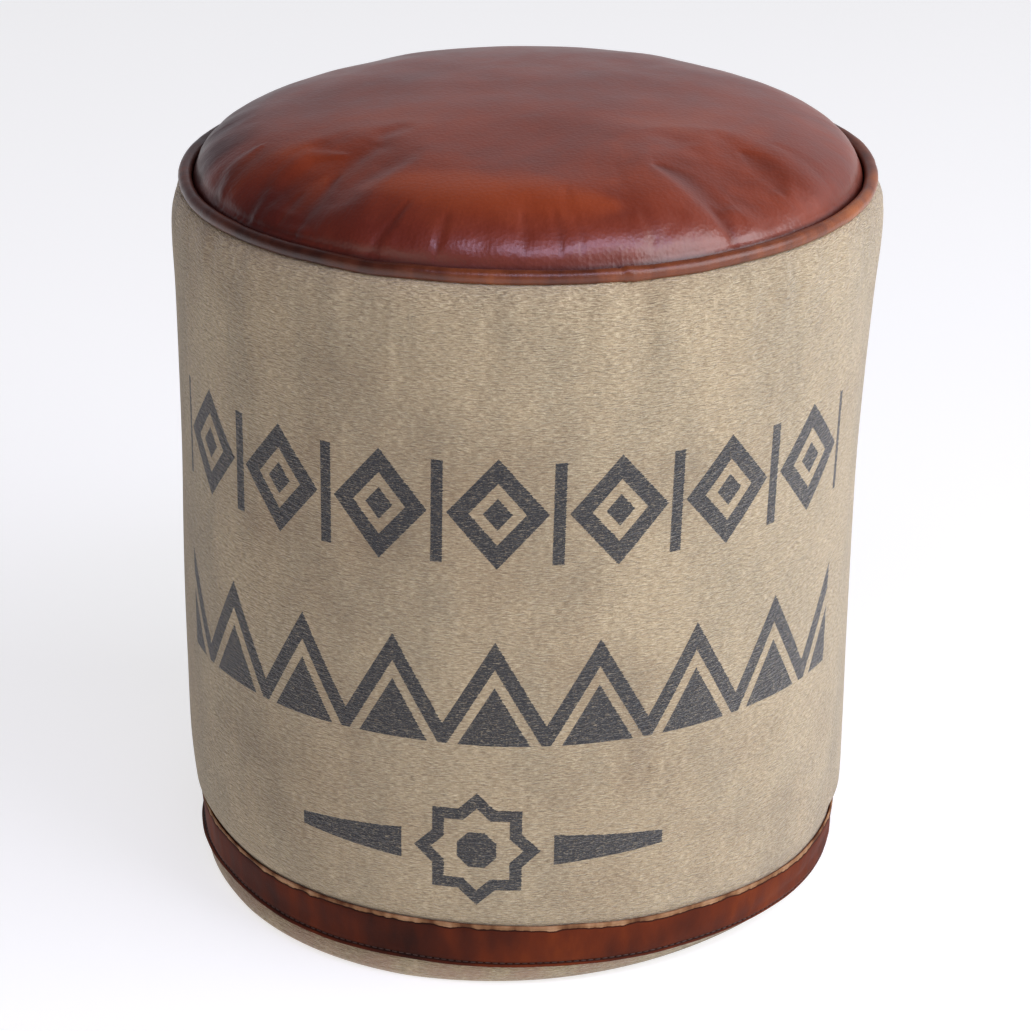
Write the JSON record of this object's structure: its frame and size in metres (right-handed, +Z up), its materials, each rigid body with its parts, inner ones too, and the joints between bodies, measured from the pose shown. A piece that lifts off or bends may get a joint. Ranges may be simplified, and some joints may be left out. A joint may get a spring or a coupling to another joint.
{
  "type": "upholstered drum pouf",
  "caption": "Round upholstered pouf with a crowned leather seat, piping, a canvas side and a leather base band on an inner wooden frame.",
  "frame": {"origin": "on the floor, at the middle of the base", "axes": "+Z up along the drum's axis, the printed front of the canvas faces -Y"},
  "size_m": [0.3848, 0.3848, 0.45],
  "materials": {
    "seat_leather": "gloss",
    "trim_leather": "satin",
    "canvas": "matte",
    "wadding": "matte",
    "foam": "matte",
    "cotton_cord": "matte",
    "hardboard": "matte",
    "plywood": "matte",
    "softwood": "matte",
    "dust_cloth": "matte",
    "nylon": "satin",
    "zinc_steel": "satin"
  },
  "bodies": {
    "root": {"seat_leather": "seat_leather", "seat_wadding": "wadding", "seat_foam": "foam", "seat_piping": "trim_leather", "piping_cord": "cotton_cord", "canvas_side": "canvas", "leather_band": "trim_leather", "drum_shell": "hardboard", "side_foam": "foam", "base_board": "plywood", "seat_board": "plywood", "frame_post_1": "softwood", "frame_post_2": "softwood", "frame_post_3": "softwood", "frame_post_4": "softwood", "seat_screw_1": "zinc_steel", "seat_screw_2": "zinc_steel", "seat_screw_3": "zinc_steel", "seat_screw_4": "zinc_steel", "base_screw_1": "zinc_steel", "base_screw_2": "zinc_steel", "base_screw_3": "zinc_steel", "base_screw_4": "zinc_steel", "dust_cover": "dust_cloth", "glide_1": "nylon", "glide_2": "nylon", "glide_3": "nylon", "glide_4": "nylon", "glide_nail_1": "zinc_steel", "glide_nail_2": "zinc_steel", "glide_nail_3": "zinc_steel", "glide_nail_4": "zinc_steel"}
  },
  "joints": []
}
